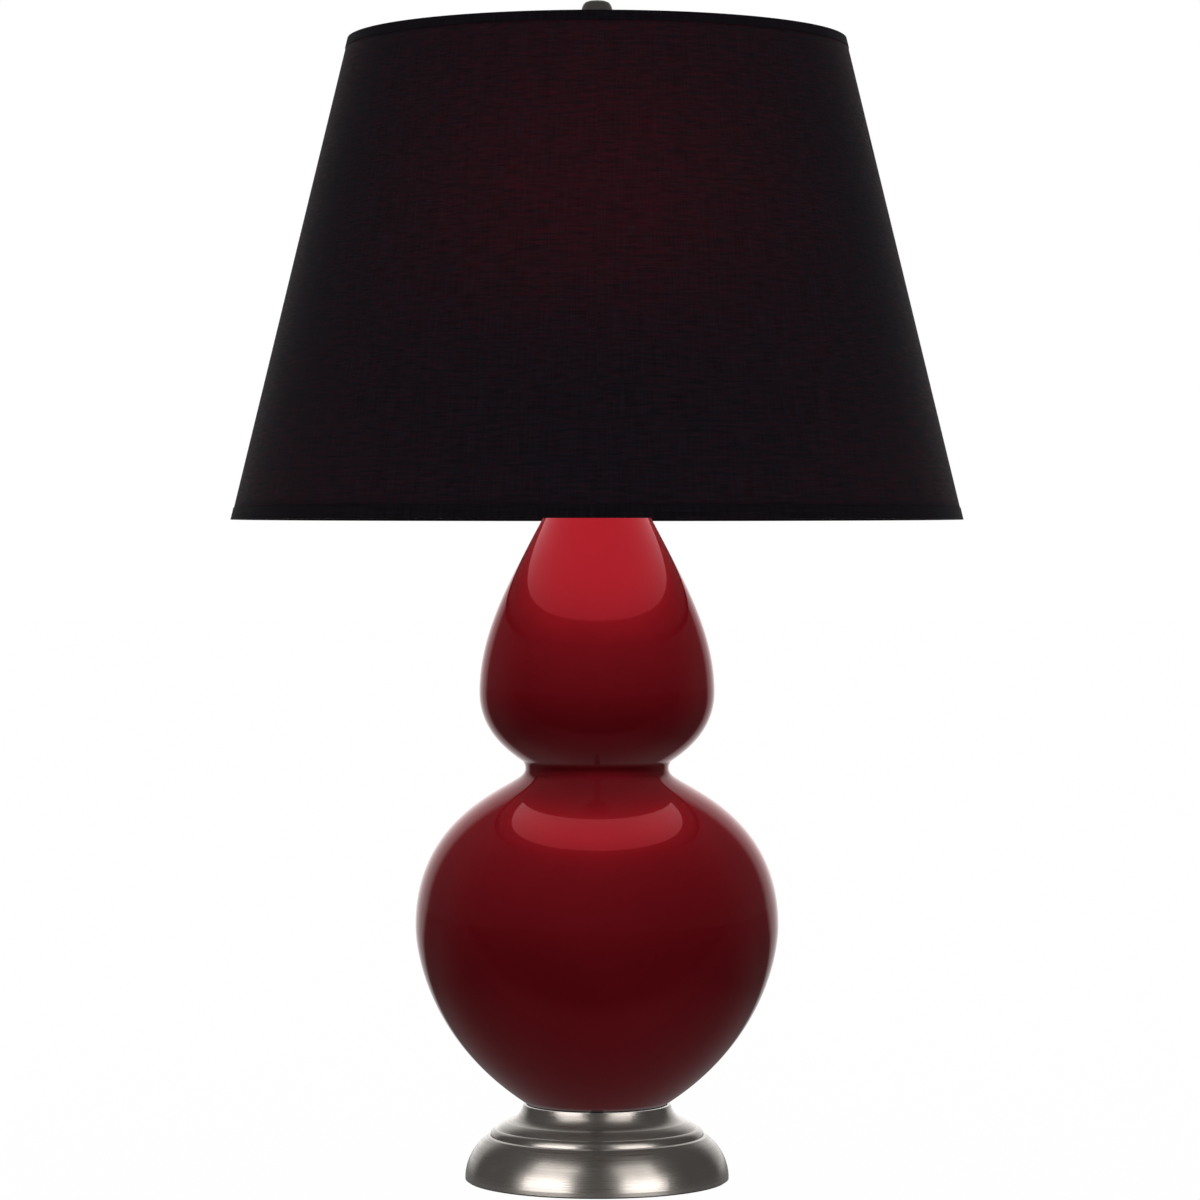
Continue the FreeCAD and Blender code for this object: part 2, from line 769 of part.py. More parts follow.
def switch_key():
    """The turn key: a fluted knob on the spindle that works the switch."""
    spindle_end = "key_start + key_hold"
    body = new_body("switch_spindle", y="-spindle_start", z="socket_level + key_height",
                    turn=FORWARD)
    rod = body.newObject("PartDesign::AdditiveCylinder", "Spindle")
    bind(rod, "Radius", "key_spindle_radius")
    bind(rod, "Height", f"{spindle_end} - spindle_start")
    knob = turned("switch_knob", ("key_spindle_radius", "0"), [
        [("key_neck_radius", "0")],
        [("key_neck_radius", "key_neck_length")],
        [("key_radius", "key_neck_length")],
        [("key_radius", "key_length - key_neck_radius / 2")],
        ["key_neck_radius / 5", ("key_radius - key_neck_radius / 2", "key_length")],
        [("0", "key_length")],
        [("0", "key_hold")],
        [("key_spindle_radius", "key_hold")],
        [("key_spindle_radius", "0")],
    ], y="-key_start", z="socket_level + key_height", turn=FORWARD)
    flute = drill(knob, "Flute", "key_flute_radius", "key_length", x="key_radius",
                  z="key_neck_length")
    flutes = knob.newObject("PartDesign::PolarPattern", "Flutes")
    flutes.Originals = [flute]
    flutes.Axis = (origin_feature(knob, "Z_Axis"), [""])
    flutes.Angle = 360
    bind(flutes, "Occurrences", "key_flutes")
    knob.Tip = flutes


# ---- bulb ----

def bulb_pieces():
    """A frosted pear-shaped bulb with a screw base, its glass stem and its filament."""
    place = {"z": "socket_level + bulb_foot"}
    ring_top = "bulb_base_foot + bulb_base_length"
    inner = "bulb_base_radius - bulb_base_sheet"
    turned("bulb_contact", ("0", "0"), [
        [("bulb_contact_radius / 2", "0")],
        [("bulb_contact_radius", "bulb_contact_height")],
        [("0", "bulb_contact_height")],
        [("0", "0")],
    ], **place)
    turned("bulb_insulator", ("0", "bulb_contact_height"), [
        [("bulb_contact_radius + bulb_contact_height", "bulb_contact_height")],
        [(inner, "bulb_base_foot")],
        [("0", "bulb_base_foot")],
        [("0", "bulb_contact_height")],
    ], **place)
    ring("bulb_base", inner, "bulb_base_radius", "bulb_base_length",
         z="socket_level + bulb_foot + bulb_base_foot")
    bulb_glass(ring_top, place)
    bulb_stem(place)
    bulb_filament(place)


def bulb_glass(rim, place):
    """The hollow envelope, its neck let into the base."""
    middle = "bulb_length - bulb_radius"
    foot = f"{rim} - bulb_neck_insert"

    def side(inset):
        neck = f"bulb_base_radius - bulb_base_sheet - glue_gap - {inset}"
        wide = f"bulb_radius - {inset}"
        return neck, [
            [(neck, rim)],
            [(f"bulb_neck_radius - {inset}", f"{rim} + bulb_rim_step")],
            [(f"bulb_neck_radius - {inset}", f"{rim} + bulb_rim_step + bulb_neck_handle"),
             (wide, f"{middle} - bulb_neck_handle"), (wide, middle)],
            [f"({wide}) * quarter_bulge", ("0", f"bulb_length - {inset}")],
        ]

    neck, outside = side("0")
    inner_neck, inside = side("bulb_glass")
    turned("bulb_envelope", (neck, foot), [
        *outside,
        [inside[-1][-1]],
        *reversed_run((inner_neck, foot), inside),
        [(neck, foot)],
    ], **place)


def bulb_stem(place):
    """The glass stem that carries the filament, flared where it is sealed into the neck."""
    foot = "bulb_base_foot + bulb_base_length - bulb_neck_insert"
    turned("bulb_stem", ("0", foot), [
        [("bulb_base_radius - bulb_base_sheet - bulb_glass - 2 * glue_gap", foot)],
        ["-stem_flare_bulge", ("stem_radius", f"{foot} + stem_flare")],
        [("stem_radius", f"{foot} + stem_height")],
        [("0", f"{foot} + stem_height")],
        [("0", foot)],
    ], **place)


def bulb_filament(place):
    """Two lead wires up out of the stem, with the filament across between them."""
    level = "bulb_base_foot + bulb_base_length - bulb_neck_insert + stem_height"
    half, bend = "filament_half_width", "filament_bend"
    top = f"({level} + filament_rise)"
    bow = f"-{bend} * quarter_bulge"
    body = new_body("bulb_filament", **place)
    path = new_sketch(body, "XZ_Plane", "Lead")
    draw(path, (f"-{half}", level), [
        [(f"-{half}", f"{top} - {bend}")],
        [bow, (f"-{half} + {bend}", top)],
        [(f"{half} - {bend}", top)],
        [bow, (half, f"{top} - {bend}")],
        [(half, level)],
    ], closed=False)
    section = new_sketch(body, "XY_Plane", "LeadSection", offset=level)
    draw_circle(section, (f"-{half}", "0"), "filament_wire_radius")
    pipe(body, section, path)


# ---- harp ----

def harp_saddle():
    """The bent strip under the socket, with a narrow tab at each end for the harp."""
    body = new_body("harp_saddle", z="saddle_level")
    thick, half = "saddle_thickness", "leg_x + saddle_thickness / 2"
    inner = "leg_x - saddle_thickness / 2"
    shoulder = "saddle_thickness + saddle_shoulder"
    bend = "saddle_bend"
    outer_bow = f"({bend} + {thick}) * quarter_bulge"
    inner_bow = f"{bend} * quarter_bulge"
    strip = new_sketch(body, "XZ_Plane", "Strip")
    draw(strip, (f"-({inner} - {bend})", "0"), [
        [(f"{inner} - {bend}", "0")],
        [outer_bow, (half, f"{thick} + {bend}")],
        [(half, shoulder)],
        [(inner, shoulder)],
        [(inner, f"{thick} + {bend}")],
        [f"-({inner_bow})", (f"{inner} - {bend}", thick)],
        [(f"-({inner} - {bend})", thick)],
        [f"-({inner_bow})", (f"-({inner})", f"{thick} + {bend}")],
        [(f"-({inner})", shoulder)],
        [(f"-({half})", shoulder)],
        [(f"-({half})", f"{thick} + {bend}")],
        [outer_bow, (f"-({inner} - {bend})", "0")],
    ])
    pad(body, strip, "saddle_width")
    for name, low, high in (("RightTab", inner, half), ("LeftTab", f"-({half})", f"-({inner})")):
        tab = new_sketch(body, "XZ_Plane", name)
        draw_box(tab, (low, shoulder), (high, f"{thick} + tab_top"))
        pad(body, tab, "tab_width")
    drill(body, "RodHole", "inner_bore", "saddle_thickness")


def harp_wire():
    """The harp: a wire bent up from each tab, out round the bulb and in to a flat eye."""
    body = new_body("harp_wire", z="socket_level")
    eye = body.newObject("PartDesign::AdditiveCylinder", "Eye")
    bind(eye, "Radius", "harp_eye_radius")
    bind(eye, "Height", "harp_eye_thickness")
    bind(eye, "Placement.Base.z", "eye_level - harp_eye_thickness / 2")

    half, leg, sweep = "harp_width / 2", "leg_x", "harp_sweep_radius"
    out = f"(({half}) - {leg})"
    rise = f"sqrt({out} * (4 * {sweep} - {out}))"
    leg_top = "harp_foot + harp_leg"
    bow = f"({sweep} - sqrt({sweep} * {sweep} - ({out} * {out} + {rise} * {rise}) / 16))"
    corner = "harp_shoulder_radius"
    path = new_sketch(body, "XZ_Plane", "HarpPath")
    draw(path, (leg, "harp_foot"), [
        [(leg, leg_top)],
        [f"-{bow}", (f"{leg} + {out} / 2", f"{leg_top} + {rise} / 2")],
        [bow, (half, f"{leg_top} + {rise}")],
        [(half, f"eye_level - {corner}")],
        [f"{corner} * quarter_bulge", (f"{half} - {corner}", "eye_level")],
        [("harp_eye_radius / 2", "eye_level")],
    ], closed=False)
    section = new_sketch(body, "XY_Plane", "HarpSection", offset="harp_foot")
    draw_circle(section, (leg, "0"), "harp_wire_radius")
    arm = pipe(body, section, path)
    doc.recompute()
    other = body.newObject("PartDesign::Mirrored", "OtherSide")
    other.Originals = [arm]
    other.MirrorPlane = (origin_feature(body, "YZ_Plane"), [""])
    body.Tip = other
    doc.recompute()
    drill(body, "StudHole", "eye_bore", "2 * harp_eye_thickness",
          z="eye_level - harp_eye_thickness")


def ferrules():
    """The sleeves that lock the harp's legs on the saddle's tabs."""
    for name, side in (("ferrule_left", "-leg_x"), ("ferrule_right", "leg_x")):
        turned(name, ("ferrule_bore", "0"), [
            [("ferrule_radius", "0")],
            [("ferrule_radius", "ferrule_length - ferrule_lip")],
            [("ferrule_radius - ferrule_lip", "ferrule_length")],
            [("ferrule_bore", "ferrule_length")],
            [("ferrule_bore", "0")],
        ], x=side, z="socket_level + ferrule_foot")


def harp_stud():
    """The swivelling stud: riveted through the eye, with a flange that the shade rests on."""
    head_top = "-(harp_eye_thickness + 2 * rest_gap)"
    head_foot = f"{head_top} - stud_head"
    turned("harp_stud", ("0", head_foot), [
        [("stud_head_radius", head_foot)],
        [("stud_head_radius", head_top)],
        [("stud_shank_radius", head_top)],
        [("stud_shank_radius", "0")],
        [("stud_flange_radius", "0")],
        [("stud_flange_radius", "stud_flange")],
        [("stud_radius", "stud_flange")],
        [("stud_radius", "stud_flange + stud_length")],
        [("0", "stud_flange + stud_length")],
        [("0", head_foot)],
    ], z="socket_level + flange_level")


# ---- shade ----

def wall(depth, level):
    """A place in the shade's wall: how deep behind its outer face, and at what level."""
    return f"shade_bottom_radius - shade_slope * ({level}) - ({depth})", level


def sloped_layer(label, depth, thickness):
    """One layer of the shade's wall, between the tapes that bind its two edges."""
    low, high = "tape_thickness + glue_gap", "shade_height - tape_thickness - glue_gap"
    back = f"{depth} + {thickness}"
    turned(label, wall(back, low), [
        [wall(depth, low)], [wall(depth, high)], [wall(back, high)], [wall(back, low)],
    ], z="shade_level")


def shade_tapes():
    """The folded tapes over the wall's lower and upper edges."""
    turned("shade_hem", wall("0", "0"), [
        [wall("0", "hem_height")],
        [wall("tape_thickness", "hem_height")],
        [wall("tape_thickness", "tape_thickness")],
        [wall("hem_depth - tape_thickness", "tape_thickness")],
        [wall("hem_depth - tape_thickness", "hem_height")],
        [wall("hem_depth", "hem_height")],
        [wall("hem_depth", "0")],
        [wall("0", "0")],
    ], z="shade_level")
    edge, low = "shade_height - tape_thickness", "shade_height - band_height"
    turned("shade_band", wall("0", low), [
        [wall("0", "shade_height")],
        [wall("hem_depth", "shade_height")],
        [wall("hem_depth", edge)],
        [wall("tape_thickness", edge)],
        [wall("tape_thickness", low)],
        [wall("0", low)],
    ], z="shade_level")


def shade_rings():
    """The wire rings inside the wall's two edges."""
    drop = "tape_thickness + ring_wire_radius + 2 * glue_gap"
    for name, level in (("shade_ring_bottom", drop),
                        ("shade_ring_top", f"shade_height - ({drop})")):
        body = new_body(name, z=f"shade_level + {level}")
        torus = body.newObject("PartDesign::AdditiveTorus", "Wire")
        bind(torus, "Radius1", f"{wall('ring_depth', level)[0]} - ring_wire_radius")
        bind(torus, "Radius2", "ring_wire_radius")


def shade_spider():
    """The fitter: a washer on the stud and three wire arms up to the top ring."""
    body = new_body("shade_spider", z="socket_level + spider_level",
                    turn=(Vector(0, 0, 1), 90))
    hub = revolve(body, ("spider_washer_hole", "0"), [
        [("spider_washer_radius", "0")],
        [("spider_washer_radius", "spider_washer")],
        [("spider_washer_hole", "spider_washer")],
        [("spider_washer_hole", "0")],
    ], "Washer")
    ring_level = "shade_height - tape_thickness - ring_wire_radius - 2 * glue_gap"
    reach = f"({wall('ring_depth', ring_level)[0]} - 2 * ring_wire_radius - rest_gap)"
    rise = "(shade_recess - tape_thickness - ring_wire_radius - 2 * glue_gap)"
    start = "spider_washer_radius - spider_wire_radius"
    level = "spider_washer / 2"
    path = new_sketch(body, "XZ_Plane", "ArmPath")
    draw(path, (start, level), [
        [(f"{reach} - spider_run", level)],
        [(reach, rise)],
    ], closed=False)
    section = new_sketch(body, "YZ_Plane", "ArmSection", offset=start)
    draw_circle(section, ("0", level), "spider_wire_radius")
    arm = pipe(body, section, path, "Arm")
    arm.Transition = "Right corner"
    doc.recompute()
    arms = body.newObject("PartDesign::PolarPattern", "Arms")
    arms.Originals = [arm]
    arms.Axis = (origin_feature(body, "Z_Axis"), [""])
    arms.Angle = 360
    bind(arms, "Occurrences", "spider_arms")
    body.Tip = arms


# ---- finial ----

def finial():
    """The turned finial that screws on the stud: foot, waisted neck, disc and stepped dome."""
    neck_top = "finial_foot + finial_neck_height"
    disc = "finial_height - finial_button - finial_dome_height - finial_disc"
    dome_foot = f"{disc} + finial_disc"
    steps = SIZES["finial_steps"]
    across = "(finial_disc_radius - finial_top_radius)"
    stretches = [
        [("finial_foot_radius", "0")],
        [("finial_foot_radius", "finial_foot")],
        ["-finial_neck_bulge / 2", ("finial_neck_radius", neck_top)],
        ["-finial_neck_bulge / 2", ("finial_disc_radius - finial_step", disc)],
        [("finial_disc_radius", f"{disc} + finial_step")],
        [("finial_disc_radius", dome_foot)],
    ]
    for step in range(steps):
        inner = f"finial_disc_radius - finial_step - {across} * {step} / {steps}"
        outer = f"finial_disc_radius - {across} * {step + 1} / {steps}"
        rise = f"sqrt(1 - ((1 - {step + 1} / {steps}) ^ 2)) * finial_dome_height"
        low = f"sqrt(1 - ((1 - {step} / {steps}) ^ 2)) * finial_dome_height"
        stretches.append([(inner, f"{dome_foot} + {low}")])
        stretches.append(["finial_step_bulge", (outer, f"{dome_foot} + {rise}")])
    stretches += [
        [("finial_button_radius", f"{dome_foot} + finial_dome_height")],
        ["finial_button_bulge", ("finial_button_top", "finial_height")],
        [("0", "finial_height")],
        [("0", "finial_bore_depth")],
        [("stud_radius + turning_gap", "finial_bore_depth")],
        [("stud_radius + turning_gap", "0")],
    ]
    turned("finial", ("stud_radius + turning_gap", "0"), stretches,
           z="socket_level + finial_level")


# ---- the whole lamp ----

base_pieces()
gourd_pieces()
socket_cap()
socket_shell()
socket_liner()
socket_core()
terminal_screws()
socket_contacts()
switch_key()
bulb_pieces()
harp_saddle()
harp_wire()
ferrules()
harp_stud()
sloped_layer("shade_fabric", "tape_thickness + glue_gap", "fabric_thickness")
sloped_layer("shade_backing", "backing_depth", "backing_thickness")
shade_tapes()
shade_rings()
shade_spider()
finial()
doc.recompute()

for thing in doc.Objects:
    if {"Invalid", "Error"} & set(thing.State):
        raise RuntimeError(f"{thing.Label} is {thing.State}")
for part in parts:
    if part.Shape.isNull() or not part.Shape.isValid():
        raise RuntimeError(f"{part.Label} has no valid shape")

os.makedirs("parts", exist_ok=True)
for part in parts:
    part.Shape.exportStep(f"parts/{part.Label}.step")
print(len(parts), "sub-parts written")
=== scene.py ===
import json
from math import atan2, cos, pi, radians, sin, sqrt, tan

import bmesh
import bpy
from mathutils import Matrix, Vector

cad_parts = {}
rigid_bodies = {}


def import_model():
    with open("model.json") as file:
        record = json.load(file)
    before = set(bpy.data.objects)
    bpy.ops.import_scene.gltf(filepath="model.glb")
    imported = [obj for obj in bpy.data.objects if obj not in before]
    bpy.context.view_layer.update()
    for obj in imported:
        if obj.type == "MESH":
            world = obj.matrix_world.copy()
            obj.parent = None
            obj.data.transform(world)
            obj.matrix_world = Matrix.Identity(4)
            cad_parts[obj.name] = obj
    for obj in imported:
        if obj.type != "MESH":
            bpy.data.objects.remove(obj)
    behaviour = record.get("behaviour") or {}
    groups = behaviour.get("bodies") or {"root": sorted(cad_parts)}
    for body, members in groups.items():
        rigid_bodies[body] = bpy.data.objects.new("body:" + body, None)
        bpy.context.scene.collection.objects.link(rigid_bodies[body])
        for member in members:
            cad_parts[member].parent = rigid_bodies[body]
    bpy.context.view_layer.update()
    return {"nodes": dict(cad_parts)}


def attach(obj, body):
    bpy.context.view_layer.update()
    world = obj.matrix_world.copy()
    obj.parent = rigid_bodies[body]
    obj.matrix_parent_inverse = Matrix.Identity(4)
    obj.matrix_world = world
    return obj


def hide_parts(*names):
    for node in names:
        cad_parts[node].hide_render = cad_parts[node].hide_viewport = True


# A table lamp with a ruby-glazed double gourd on a brushed pewter base, under a black cloth shade.
# The scene is in metres, +Z up, -Y to the front, with the origin under the middle of the base.
# Outlines are in millimetres and become metres as they are turned.

for leftover in list(bpy.data.objects):
    bpy.data.objects.remove(leftover)

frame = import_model()
nodes = frame["nodes"]
MM = 0.001


# ---- outlines ----

def arc_run(start, end, bulge, count):
    """Points on an arc that stands off its chord by a bulge, to the right of its run."""
    dx, dy = end[0] - start[0], end[1] - start[1]
    chord = sqrt(dx * dx + dy * dy)
    radius = (chord * chord / 4 + bulge * bulge) / (2 * abs(bulge))
    side = 1 if bulge > 0 else -1
    nx, ny = side * dy / chord, -side * dx / chord
    mx, my = (start[0] + end[0]) / 2, (start[1] + end[1]) / 2
    cx, cy = mx + nx * (abs(bulge) - radius), my + ny * (abs(bulge) - radius)
    a0 = atan2(start[1] - cy, start[0] - cx)
    a1 = atan2(end[1] - cy, end[0] - cx)
    turn = a1 - a0
    while turn > pi:
        turn -= 2 * pi
    while turn < -pi:
        turn += 2 * pi
    return [(cx + radius * cos(a0 + turn * i / count), cy + radius * sin(a0 + turn * i / count))
            for i in range(1, count + 1)]


def curve_run(start, first, second, end, count):
    """Points on a cubic curve with two handles."""
    points = []
    for i in range(1, count + 1):
        t = i / count
        s = 1 - t
        points.append(tuple(s ** 3 * start[k] + 3 * s * s * t * first[k] + 3 * s * t * t * second[k]
                            + t ** 3 * end[k] for k in (0, 1)))
    return points


def rounded(points, radius, steps=4, turn_over=28):
    """The outline with a small round at each corner that turns by more than so many degrees."""
    eased = []
    count = len(points)
    for i, here in enumerate(points):
        before, after = points[i - 1], points[(i + 1) % count]
        a = Vector((before[0] - here[0], before[1] - here[1]))
        b = Vector((after[0] - here[0], after[1] - here[1]))
        if pi - a.angle(b) < radians(turn_over):
            eased.append(here)
            continue
        reach = min(radius, a.length * 0.45, b.length * 0.45)
        p = Vector(here) + a.normalized() * reach
        q = Vector(here) + b.normalized() * reach
        for k in range(steps + 1):
            t = k / steps
            spot = p * (1 - t) ** 2 + Vector(here) * (2 * t * (1 - t)) + q * t * t
            eased.append((spot.x, spot.y))
    return eased


def lathe(name, outline, lift, segments):
    """A turned form: the closed outline of (radius, height), lifted and turned about Z."""
    bm = bmesh.new()
    rings = []
    for radius, height in outline:
        z = (height + lift) * MM
        rings.append([bm.verts.new((radius * MM * cos(2 * pi * s / segments),
                                    radius * MM * sin(2 * pi * s / segments), z))
                      for s in range(segments)])
    for low, high in zip(rings, rings[1:] + rings[:1]):
        for s in range(segments):
            t = (s + 1) % segments
            bm.faces.new((low[s], low[t], high[t], high[s]))
    bmesh.ops.recalc_face_normals(bm, faces=bm.faces)
    piece = placed(name, bm)
    piece.data.shade_smooth()
    return piece


def placed(name, bm):
    """The finished mesh as an object of the scene."""
    mesh = bpy.data.meshes.new(name)
    bm.to_mesh(mesh)
    bm.free()
    piece = bpy.data.objects.new(name, mesh)
    bpy.context.scene.collection.objects.link(piece)
    return piece


# ---- shader graphs ----

class Graph:
    """A node tree and the few kinds of node that the surfaces here are made of."""

    def __init__(self, tree):
        self.tree = tree
        self.tree.nodes.clear()

    def add(self, kind, **settings):
        node = self.tree.nodes.new(kind)
        for key, setting in settings.items():
            setattr(node, key, setting)
        return node

    def link(self, source, target):
        self.tree.links.new(source, target)

    def set_or_link(self, socket, source):
        """A number or a colour is written on the socket, anything else is linked to it."""
        if isinstance(source, (int, float)):
            socket.default_value = source
        elif isinstance(source, tuple):
            socket.default_value = (*source, 1)
        else:
            self.link(source, socket)

    def split(self, source):
        node = self.add("ShaderNodeSeparateXYZ")
        self.link(source, node.inputs[0])
        return node.outputs

    def ramp(self, source, stops):
        node = self.add("ShaderNodeValToRGB")
        elements = node.color_ramp.elements
        while len(elements) < len(stops):
            elements.new(0.5)
        for element, (position, colour) in zip(elements, stops):
            element.position = position
            element.color = (*colour, 1)
        self.link(source, node.inputs["Fac"])
        return node.outputs["Color"]

    def spread(self, source, low, high, from_low=0.3, from_high=0.7):
        """The source's range, by default the middle of a noise, stretched over low to high."""
        node = self.add("ShaderNodeMapRange")
        for key, setting in (("From Min", from_low), ("From Max", from_high), ("To Min", low),
                             ("To Max", high)):
            node.inputs[key].default_value = setting
        self.link(source, node.inputs["Value"])
        return node.outputs["Result"]

    def maths(self, operation, first, second=0.5):
        node = self.add("ShaderNodeMath", operation=operation)
        self.set_or_link(node.inputs[0], first)
        self.set_or_link(node.inputs[1], second)
        return node.outputs[0]

    def mix(self, factor, first, second):
        node = self.add("ShaderNodeMix", data_type="RGBA")
        for socket, source in ((0, factor), (6, first), (7, second)):
            self.set_or_link(node.inputs[socket], source)
        return node.outputs[2]

    def blend(self, share, first, second):
        """Two shaders, the second by the given share."""
        node = self.add("ShaderNodeMixShader")
        self.set_or_link(node.inputs[0], share)
        self.link(first.outputs[0], node.inputs[1])
        self.link(second.outputs[0], node.inputs[2])
        return node


class Finish(Graph):
    """One procedural material: a principled surface and the nodes that drive it."""

    def __init__(self, name):
        self.material = bpy.data.materials.new(name)
        self.material.use_nodes = True
        super().__init__(self.material.node_tree)
        self.output = self.add("ShaderNodeOutputMaterial")
        self.place = self.add("ShaderNodeTexCoord").outputs["Object"]

    def principled(self, **sockets):
        self.shader = self.add("ShaderNodeBsdfPrincipled")
        for key, setting in sockets.items():
            self.shader.inputs[key.replace("_", " ")].default_value = setting
        self.surface(self.shader)

    def surface(self, shader):
        self.link(shader.outputs[0], self.output.inputs["Surface"])

    def drive(self, socket, source):
        self.link(source, self.shader.inputs[socket])

    def scaled(self, source, scale):
        mapping = self.add("ShaderNodeMapping")
        mapping.inputs["Scale"].default_value = scale
        self.link(source, mapping.inputs["Vector"])
        return mapping.outputs[0]

    def noise(self, scale, detail=3.0, rough=0.5, stretch=(1, 1, 1), distortion=0.0, where=None):
        texture = self.add("ShaderNodeTexNoise")
        texture.inputs["Scale"].default_value = scale
        texture.inputs["Detail"].default_value = detail
        texture.inputs["Roughness"].default_value = rough
        texture.inputs["Distortion"].default_value = distortion
        self.link(self.scaled(self.place if where is None else where, stretch),
                  texture.inputs["Vector"])
        return texture.outputs["Fac"]

    def bump(self, height, distance, strength=1.0, after=None):
        node = self.add("ShaderNodeBump")
        node.inputs["Strength"].default_value = strength
        node.inputs["Distance"].default_value = distance
        self.link(height, node.inputs["Height"])
        if after is not None:
            self.link(after, node.inputs["Normal"])
        return node.outputs["Normal"]


# ---- materials ----

COPPER_SHARE = 0.15
PATINA_TONE, SCRATCH_TONE = 0.72, 0.6


def toned(colour, by):
    return tuple(c * by for c in colour)


def glaze():
    """Thick ruby glaze: clear and glossy, a little deeper where it pooled."""
    f = Finish("ruby_glaze")
    f.principled(IOR=1.5, Specular_Tint=(1.0, 0.16, 0.20, 1))
    pool = f.noise(9.0, 3.0, 0.55)
    fine = f.noise(160.0, 2.0, 0.5)
    depth = f.maths("ADD", f.maths("MULTIPLY", pool, 0.85), f.maths("MULTIPLY", fine, 0.15))
    f.drive("Base Color", f.ramp(depth, [(0.30, (0.094, 0.0032, 0.0055)),
                                         (0.70, (0.114, 0.0043, 0.0075))]))
    f.drive("Roughness", f.spread(fine, 0.028, 0.05))
    waves = f.bump(f.noise(28.0, 2.0, 0.4), 0.00025, 0.25)
    f.drive("Normal", waves)

    # the copper in the glaze throws light back softly from below its surface
    copper = f.add("ShaderNodeBsdfGlossy")
    f.link(f.ramp(depth, [(0.30, (0.82, 0.026, 0.044)), (0.70, (0.98, 0.033, 0.055))]),
           copper.inputs["Color"])
    f.link(f.spread(fine, 0.39, 0.45), copper.inputs["Roughness"])
    f.link(waves, copper.inputs["Normal"])
    f.surface(f.blend(COPPER_SHARE, f.shader, copper))
    return f.material


def pewter(name, lines=True):
    """Antique silver: spun metal with fine lines round the axis and a darker patina in patches."""
    colour, rough = (0.50, 0.455, 0.415), 0.27
    f = Finish(name)
    f.principled(Metallic=1.0, Anisotropic=0.6, Anisotropic_Rotation=0.25)
    patina = f.noise(22.0, 4.0, 0.6)
    brushed = f.noise(1.0, 3.0, 0.6, stretch=(18, 18, 2600))
    tone = f.mix(f.spread(patina, 0.0, 1.0), colour, toned(colour, PATINA_TONE))
    f.drive("Base Color", f.mix(f.spread(brushed, 0.0, 0.35), tone, toned(colour, SCRATCH_TONE)))
    f.drive("Roughness", f.maths("ADD", f.spread(brushed, rough - 0.05, rough + 0.06),
                                 f.spread(patina, 0.0, 0.05)))
    if lines:
        f.drive("Normal", f.bump(brushed, 0.00004, 0.25))
        f.drive("Tangent", f.add("ShaderNodeTangent", direction_type="RADIAL", axis="Z").outputs[0])
    return f.material


def plain_metal(name, colour, rough, grain, worn):
    """A machined or plated metal with a fine grain, dulled in patches."""
    f = Finish(name)
    f.principled(Metallic=1.0)
    cloud = f.noise(grain, 4.0, 0.6)
    speck = f.noise(grain * 12, 2.0, 0.5)
    f.drive("Base Color", f.mix(f.spread(cloud, 0.0, 1.0), colour, toned(colour, worn)))
    f.drive("Roughness", f.spread(cloud, rough - 0.06, rough + 0.1))
    f.drive("Normal", f.bump(speck, 0.00003, 0.3))
    return f.material


def moulded(name, colour, rough, grain=400.0, depth=0.00006, worn=1.35):
    """Moulded rubber, phenolic or card: a fine matt grain with lighter scuffs."""
    f = Finish(name)
    f.principled(IOR=1.5)
    cloud = f.noise(60.0, 3.0, 0.6)
    speck = f.noise(grain, 2.0, 0.6)
    f.drive("Base Color", f.mix(f.spread(cloud, 0.0, 1.0, 0.4, 0.75), colour,
                                tuple(c * worn + 0.004 for c in colour)))
    f.drive("Roughness", f.spread(speck, rough - 0.07, rough + 0.07))
    f.drive("Normal", f.bump(speck, depth, 0.5))
    return f.material


def felt():
    """Pressed felt: short fibres that lie every way."""
    f = Finish("felt_pad")
    f.principled(IOR=1.4, Sheen_Weight=0.25, Sheen_Roughness=0.5)
    fibres = f.noise(900.0, 4.0, 0.7, stretch=(1, 1.6, 1), distortion=1.5)
    clumps = f.noise(120.0, 3.0, 0.6)
    f.drive("Base Color", f.mix(f.maths("MULTIPLY", fibres, clumps), (0.012, 0.012, 0.013),
                                (0.045, 0.043, 0.044)))
    f.drive("Roughness", f.spread(fibres, 0.82, 0.97))
    f.drive("Normal", f.bump(fibres, 0.0003, 0.8))
    return f.material


def glass(name, transmission, dull, clean, smooth, rough):
    """The bulb's glass: faintly clouded, between two colours and two roughnesses."""
    f = Finish(name)
    f.principled(IOR=1.5, Transmission_Weight=transmission)
    cloud = f.noise(130.0, 3.0, 0.6)
    f.drive("Base Color", f.mix(f.spread(cloud, 0.0, 1.0), dull, clean))
    f.drive("Roughness", f.spread(cloud, smooth, rough))
    f.drive("Normal", f.bump(cloud, 0.00003, 0.3))
    return f.material


THREAD_RADIUS = 0.2     # turns an angle round the shade into a length along its threads


def unrolled(f):
    """How far round the shade and how high a point lies, for threads that run round or up it."""
    split = f.split(f.place)
    joined = f.add("ShaderNodeCombineXYZ")
    about = f.maths("ARCTAN2", split["X"], split["Y"])
    f.link(f.maths("MULTIPLY", about, THREAD_RADIUS), joined.inputs["X"])
    f.link(split["Z"], joined.inputs["Y"])
    return joined.outputs[0]


SIFTED_SHARE = 0.06


